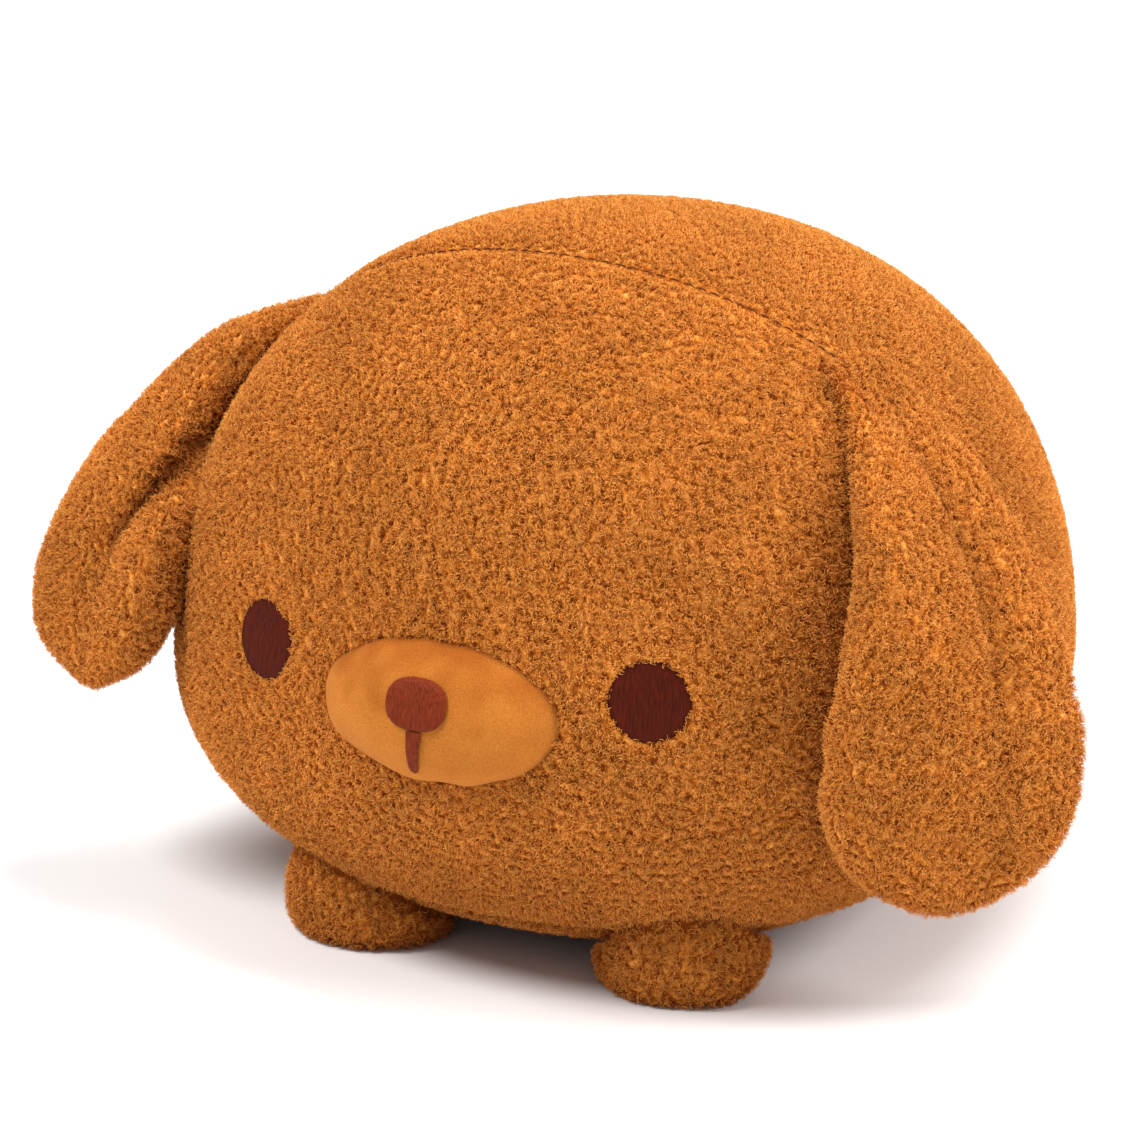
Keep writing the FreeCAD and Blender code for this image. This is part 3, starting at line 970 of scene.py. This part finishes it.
SECTION_STEP = 5.0 * MM  # between the sections that are measured on the CAD ear
EAR_STATIONS = 54  # rings of the skin, from root to tip
EAR_CORNERS = 44  # corners of each ring
EAR_PUFF_LIMIT = 4.5 * MM
BATTING_SHARE = 0.6  # the batting's size, as a share of the skin's
BATTING_START = 4  # the batting begins at this ring, clear of the hinge
HELD_CREASE = 3.0 * MM  # cloth in a deeper crease than this is held while the ear is puffed up
HELD_RINGS = 4  # and so are this many rings at the root
ROOT_END = 4.0 * MM  # past this, the pile follows the ear and not the head
ROOT_SHADE = 25.0 * MM  # the cloth is darker this far from the root
EAR_HEM = 4.0 * MM
EAR_ROLL = 3.0 * MM  # extra padding on the outer face, which makes a roll of each edge
PLEAT_DEPTH = 1.5 * MM
TIP_REACH = 3.0 * MM  # the tip is this much longer than the CAD ear
ROOT_SUNK = 4.0 * MM  # the ear starts this far behind the hinge, inside the seam
EDGE_POWER, FACE_POWER = 0.85, 0.62  # below 1, a section is squarer than an oval
# How each ear lies, along its length from 0 at the root to 1 at the tip: how much wider than the
# CAD flap, how far it lies forward and up from it, how far its head side swells to rest on the
# head, where its long crease runs round the section (0 at the front edge, pi / 2 in the middle of
# the outer face, less than 0 on the head side), and how deep that crease is.
EAR_SHARES = (0.0, 0.12, 0.3, 0.5, 0.7, 0.85, 1.0)
CREASE_WIDTH = 0.3  # in radians round the section
CREASE_LIMIT = 0.7  # a crease goes this far in towards the middle, at most
EAR_SHAPES = {
    "left": {
        "widen": (1.5, 1.5, 1.34, 1.15, 1.1, 1.05, 0.97),
        "forward_mm": (0, 1, 2.5, 3, 1.5, 1.5, 3),
        "lift_mm": (0, 0, 0, 0, 0, 2, 5),
        "swell_mm": (3, 5, 6, 4, 1, 0, 0),
        "crease": (1.5, 1.57, 1.8, 1.94, 1.94, 1.91, 1.91),
        "crease_mm": (0, 3, 10, 13, 9, 2, 0),
    },
    "right": {
        "widen": (1.3, 1.2, 1.05, 0.98, 0.96, 1.05, 1.15),
        "forward_mm": (0, 0, 1, 3, 4.5, 5, 6),
        "lift_mm": (-6, -6, -4, -1, 0, 0, 1),
        "swell_mm": (3, 8, 11, 8, 2, 0, 0),
        "crease": (-0.8, -0.7, -0.49, 0.25, 0.88, 1.16, 1.3),
        "crease_mm": (0, 3, 12, 18, 15, 7, 0),
    },
}


def tube_faces():
    """The ear's faces, and the corner each starts at. The last two vertices close the ends."""
    faces, corners = [], []
    end = EAR_STATIONS * EAR_CORNERS
    for corner in range(EAR_CORNERS):
        after = (corner + 1) % EAR_CORNERS
        faces.append((end, after, corner))
        faces.append((end + 1, end - EAR_CORNERS + corner, end - EAR_CORNERS + after))
        faces += strip(0, EAR_STATIONS, EAR_CORNERS, corner)
        corners += [corner] * (EAR_STATIONS + 1)
    return faces, corners


def ear_loft(name, side, root, found):
    """The ear's closed skin, with its material 0 on the outer face and 1 on the head side.

    Also says which vertices hold still while it is puffed up, and for each vertex the middle
    that its batting is drawn towards and the share of the way that is left.
    """
    even = np.linspace(0, 1, EAR_STATIONS)
    shares = 0.5 * even + 0.5 * np.sin(even * math.pi / 2)
    columns = [resample(column, shares) for column in zip(*found)]
    centres, across, deep, half_width, half_depth = columns
    outward = np.sign(((centres - EGG.centre) * deep).sum(1).mean())
    across, deep = unit(across), unit(deep) * outward
    heading = unit(np.gradient(centres, axis=0))
    centres = centres + heading * (np.clip((shares - 0.85) / 0.15, 0, 1) * TIP_REACH)[:, None]
    centres[0] = root - heading[0] * ROOT_SUNK
    shape = {key: np.interp(shares, EAR_SHARES, row) for key, row in EAR_SHAPES[side].items()}
    closing = (1 - 0.97 * np.clip((shares - 0.88) / 0.12, 0, 1) ** 2.4) ** 0.5
    centres = centres + across * (MM * shape["forward_mm"])[:, None]
    centres[:, 2] += MM * shape["lift_mm"]
    roll = EAR_ROLL * closing * np.clip(shares / 0.3, 0, 1)  # full at 0.3 of the length
    centres = centres - deep * (0.8 * roll)[:, None]
    half_width = half_width * shape["widen"] * closing
    half_depth = half_depth * closing
    angle = 2 * math.pi * (np.arange(EAR_CORNERS) + 0.5) / EAR_CORNERS
    cosine, sine = np.cos(angle)[None], np.sin(angle)[None]
    wide = np.sign(cosine) * np.abs(cosine) ** EDGE_POWER
    thick = np.sign(sine) * np.abs(sine) ** FACE_POWER * half_depth[:, None]
    turn = np.where(angle > math.pi, angle - 2 * math.pi, angle)[None]
    in_crease = np.exp(-(((turn - shape["crease"][:, None]) / CREASE_WIDTH) ** 2))
    crease = (MM * shape["crease_mm"] * closing)[:, None] * in_crease
    near_root = np.exp(-((shares[:, None] / 0.14) ** 2))
    pleats = PLEAT_DEPTH * near_root * np.cos(5 * math.pi * wide)
    swell = MM * shape["swell_mm"][:, None] * np.abs(sine) ** 0.7
    roll = roll[:, None] * np.abs(sine) ** 0.5
    thick += np.where(sine > 0, roll + pleats * sine, 0.8 * roll - swell)
    wide = wide * half_width[:, None]
    left_over = 1 - np.minimum(crease / np.hypot(wide, thick), CREASE_LIMIT)
    points = centres[:, None] + across[:, None] * (wide * left_over)[:, :, None]
    points = (points + deep[:, None] * (thick * left_over)[:, :, None]).reshape(-1, 3)
    points = np.vstack([points, centres[:1], centres[-1:]])
    faces, corners = tube_faces()
    if outward < 0:
        faces = [face[::-1] for face in faces]
    materials = [0 if corner < EAR_CORNERS // 2 else 1 for corner in corners]
    obj = mesh_object(name, points, faces)
    for material in (CLOTH, BACKING):
        obj.data.materials.append(material)
    obj.data.polygons.foreach_set("material_index", materials)
    held = np.concatenate([(crease > HELD_CREASE).ravel(), [True, False]])
    held[: HELD_RINGS * EAR_CORNERS] = True
    station = np.arange(EAR_STATIONS)
    middles = centres[np.maximum(station, BATTING_START)]
    slender = BATTING_SHARE * np.clip((station - BATTING_START) / 5, 0.1, 1)
    owner = np.concatenate([np.repeat(station, EAR_CORNERS), [0, -1]])
    return obj, np.flatnonzero(held), middles[owner], slender[owner][:, None]


def half_of(name, whole, index, centres, hem):
    """The faces of one material, their free edge turned in towards the padding."""
    build = bmesh.new()
    build.from_mesh(whole.data)
    others = [face for face in build.faces if face.material_index != index]
    bmesh.ops.delete(build, geom=others, context="FACES")
    turn_in(build, hem, lambda here: centres[np.linalg.norm(centres - here, axis=1).argmin()])
    for face in build.faces:
        face.material_index = 0
    return built_object(name, build)


def make_ear(side):
    """A padded flap: the CAD ear's sections, with a crease along it and a pleated root."""
    body = side + "_ear"
    front, back, batting = body + "_front", body + "_back", body + "_batting"
    joint = next(j for j in frame["joints"] if j["child"] == body)
    root = np.array(joint["pos_m"])
    core = soft_copy(body + "_core", (front, back, batting), 2.4 * MM, 2)
    found = flap_sections(coordinates(core), root)
    bpy.data.objects.remove(core)
    centres = np.array([section[0] for section in found])
    whole, held, middle, share = ear_loft(body + "_whole", side, root, found)
    puff(whole, held, EAR_PUFF_LIMIT)
    make_core(body + "_filling", whole, middle, share, body, batting)
    refine(whole, 2)
    heading = unit(centres[2] - root)
    beyond = (coordinates(whole) - root) @ heading
    tufted(whole, np.clip(beyond / ROOT_SHADE, 0.0, 1))
    on_ear = np.clip((beyond - ROOT_END) / (2 * MM) + 0.5, 0, 1)
    grow_pile(body + "_pile", whole, body, SEED_EAR_PILE + len(side), on_ear)
    grow_pile(body + "_root_pile", whole, "body", SEED_ROOT_PILE + len(side), 1 - on_ear)
    for index, (name, node) in enumerate((("_outer_plush", front), ("_inner_plush", back))):
        obj = half_of(body + name, whole, index, centres, EAR_HEM)
        dress(obj, CLOTH, None, node)
        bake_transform(obj)
    bpy.data.objects.remove(whole)


def make_tail():
    obj = soft_copy("tail_plush", ("tail_cover", "tail_stuffing"), 2.2 * MM, 6)
    refine(obj)
    everywhere = np.ones(len(obj.data.vertices))
    tufted(obj, everywhere, 0.6 * CLOTH_DEPTH)
    finish_plush(obj, "tail", "tail_cover", SEED_TAIL_PILE, everywhere)
    make_filling("tail_filling", "tail_stuffing", "tail", 3 * MM, 0.4 * MM)


# ---- seam stitches

THREAD_SIDES, THREAD_RINGS = 6, 5
THREAD_RADIUS = 0.38 * MM
THREAD_ARCH = 0.5 * MM  # each stitch rises this far in its middle
THREAD_SHARE = 0.82  # of each stitch's pitch; the rest is a gap
CROWN_START, CROWN_SWEEP = math.radians(-40), math.radians(260)


def stitch_ring(name, node, path, count):
    """A run of short thread stitches along a seam; path(share) gives the seam's points."""
    vertices, faces = [], []
    sides, rings = THREAD_SIDES, THREAD_RINGS
    for number in range(count):
        start, end = path(number / count), path((number + THREAD_SHARE) / count)
        along = end - start
        normal = EGG.normal(((start + end) / 2)[None])[0]
        across = unit(np.cross(along, normal))
        base = len(vertices)
        for ring in range(rings):
            share = ring / (rings - 1)
            arch = math.sin(math.pi * share)
            centre = start + along * share + normal * THREAD_ARCH * arch
            radius = THREAD_RADIUS * math.sqrt(max(0.12, arch))
            for corner in range(sides):
                angle = 2 * math.pi * corner / sides
                offset = across * math.cos(angle) + normal * math.sin(angle)
                vertices.append(centre + offset * radius)
        for corner in range(sides):
            faces += strip(base, rings, sides, corner)
        faces.append(tuple(range(base, base + sides))[::-1])
        faces.append(tuple(range(base + (rings - 1) * sides, base + rings * sides)))
    dress(mesh_object(name, vertices, faces), SEAM_THREAD, "body", node)


def crown_path(share):
    """A point of the crown seam, from the left end over the crown to the right end."""
    angle = CROWN_START + CROWN_SWEEP * share
    direction = np.array([math.cos(angle), 0.0, math.sin(angle)])
    half_height = (EGG.top + EGG.bottom) / 2
    guess = EGG.centre + direction * np.array([EGG.half_width, 0.0, half_height])
    for _ in range(12):  # towards the line where the seam's plane meets the outline
        guess = guess - SEAM_NORMAL * ((guess - SEAM_POINT) @ SEAM_NORMAL)
        guess = EGG.place(EGG.local(guess[None]))[0]
    guess[2] = max(guess[2], BELLY_Z + 2 * MM)
    return guess - EGG.normal(guess[None])[0] * (CLOTH_DEPTH - 0.9 * MM)


def belly_path(share):
    """A point of the belly seam, all the way round."""
    angle = 2 * math.pi * share
    direction = np.array([math.cos(angle), math.sin(angle), 0.0])
    drop = (BELLY_Z - EGG.centre[2]) / EGG.bottom
    direction = direction * math.sqrt(1 - drop ** 2) + np.array([0.0, 0.0, drop])
    point = EGG.place(direction[None])[0]
    return point - EGG.normal(point[None])[0] * (CLOTH_DEPTH + SEAM_DEPTH - 0.6 * MM)


# ---- build the toy

make_body()
make_filling("body_filling", "body_stuffing", "body", 7 * MM, 1.0 * MM)
make_muzzle()
make_filling("muzzle_filling", "muzzle_padding", "body", 3 * MM, 0.4 * MM)
make_nose()
make_mouth()
for side in ("left", "right"):
    make_eye(side)
    make_ear(side)
    for end in ("front", "back"):
        make_foot(end + "_" + side)
make_tail()
stitch_ring("crown_seam_stitches", "crown_seam_thread", crown_path, 190)
stitch_ring("belly_seam_stitches", "belly_seam_thread", belly_path, 200)
for node in ("left_eye_backing", "right_eye_backing", "muzzle_backing"):
    set_material(frame["nodes"][node], BACKING)

# ---- stage, lights and camera

AZIMUTH = math.radians(28.0)
ELEVATION = math.radians(16.9)
DISTANCE = 2.27
LENS_MM = 201.0
AIM_RIGHT = -12.7 * MM
AIM_UP = 35.7 * MM
FLOOR_HALF = 12.0
# The floor and the background turn white for the camera only, and light nothing.
FADE_START, FADE_END = 0.45, 1.0  # distances from the toy
FADE_GLOW = 0.75
WORLD_LIGHT, WORLD_SEEN = 0.36, 1.0
SOFTBOXES = {  # position, diameter, watts
    "top_softbox": ((0.4, 0.2, 2.1), 1.1, 31.0),
    "left_softbox": ((-0.9, -1.2, 1.9), 0.9, 48.0),
    "right_softbox": ((1.8, 0.1, 1.2), 0.9, 33.0),
}


def make_stage():
    signs = ((-1, -1), (1, -1), (1, 1), (-1, 1))
    corners = [(x * FLOOR_HALF, y * FLOOR_HALF, 0.0) for x, y in signs]
    floor = mesh_object("floor", corners, [(0, 1, 2, 3)])
    shader = Shader("pale_floor")
    shader.paint(shader.ramp(shader.noise(6.0), (0.3, (0.90,) * 3), (0.7, (0.92,) * 3)))
    shader.set(Roughness=0.9, Specular_IOR_Level=0.1, Emission_Color=(1.0, 1.0, 1.0, 1.0))
    away = shader.node("ShaderNodeVectorMath", {0: shader.coordinates()}, operation="LENGTH")
    fade = (FADE_START, (0.0,) * 3), (FADE_END, (FADE_GLOW,) * 3)
    glow = shader.ramp(away.outputs["Value"], *fade)
    seen = shader.node("ShaderNodeLightPath").outputs["Is Camera Ray"]
    shader.connect(shader.math("MULTIPLY", glow, seen), "Emission Strength")
    set_material(floor, shader.material)


def make_lights():
    for name, (position, size, power) in SOFTBOXES.items():
        lamp = bpy.data.lights.new(name, "AREA")
        lamp.shape = "DISK"
        lamp.size = size
        lamp.energy = power
        light = add_object(name, lamp)
        light.location = position
        towards = Vector(EGG.centre) - Vector(position)
        light.rotation_euler = towards.to_track_quat("-Z", "Y").to_euler()


def make_world():
    world = bpy.data.worlds.new("studio")
    world.use_nodes = True
    tree = world.node_tree
    background = tree.nodes["Background"]
    background.inputs["Color"].default_value = (1.0, 1.0, 1.0, 1.0)
    seen = add_node(tree, "ShaderNodeLightPath").outputs["Is Camera Ray"]
    inputs = {"Value": seen, "To Min": WORLD_LIGHT, "To Max": WORLD_SEEN}
    strength = add_node(tree, "ShaderNodeMapRange", inputs).outputs["Result"]
    tree.links.new(strength, background.inputs["Strength"])
    bpy.context.scene.world = world


def make_camera():
    """The view: from the front left and a little above."""
    level = math.cos(ELEVATION)
    right = Vector((math.cos(AZIMUTH), math.sin(AZIMUTH), 0.0))
    back = Vector((math.sin(AZIMUTH) * level, -math.cos(AZIMUTH) * level, math.sin(ELEVATION)))
    up = back.cross(right)
    lens = bpy.data.cameras.new("camera")
    lens.lens = LENS_MM
    lens.clip_end = 50.0
    camera = add_object("camera", lens)
    camera.location = Vector(EGG.centre) + right * AIM_RIGHT + up * AIM_UP + back * DISTANCE
    camera.rotation_euler = back.to_track_quat("Z", "Y").to_euler()
    bpy.context.scene.camera = camera


make_stage()
make_lights()
make_world()
make_camera()
bpy.context.scene.view_settings.view_transform = "Standard"
